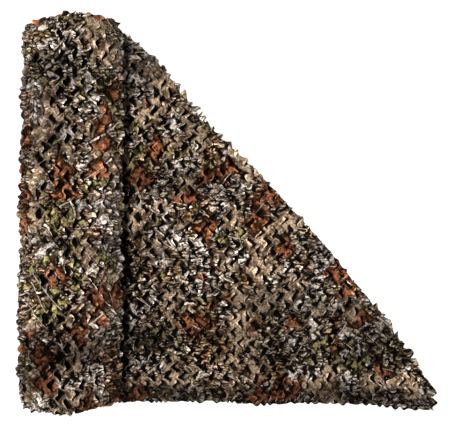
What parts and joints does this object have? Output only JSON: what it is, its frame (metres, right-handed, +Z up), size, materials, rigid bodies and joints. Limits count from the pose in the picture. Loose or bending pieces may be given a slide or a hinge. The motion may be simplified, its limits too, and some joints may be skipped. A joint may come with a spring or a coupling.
{
  "type": "camouflage netting",
  "caption": "Roll of leaf-cut camouflage netting lying on its side, its loose end laid flat with the far corner turned under into a long triangle.",
  "frame": {"origin": "on the floor, under the middle of the whole bounding box", "axes": "+Z up; the roll lies along Y at the -X side; the loose end runs out along the floor towards +X"},
  "size_m": [1.7136, 1.5912, 0.329],
  "materials": {
    "camo_cloth": "printed woven polyester in bark, leaf and moss colours, matt, slit in staggered rows and pulled open so that the tongues curl"
  },
  "bodies": {
    "root": {"net_roll": "camo_cloth", "net_loose_end": "camo_cloth"}
  },
  "joints": []
}
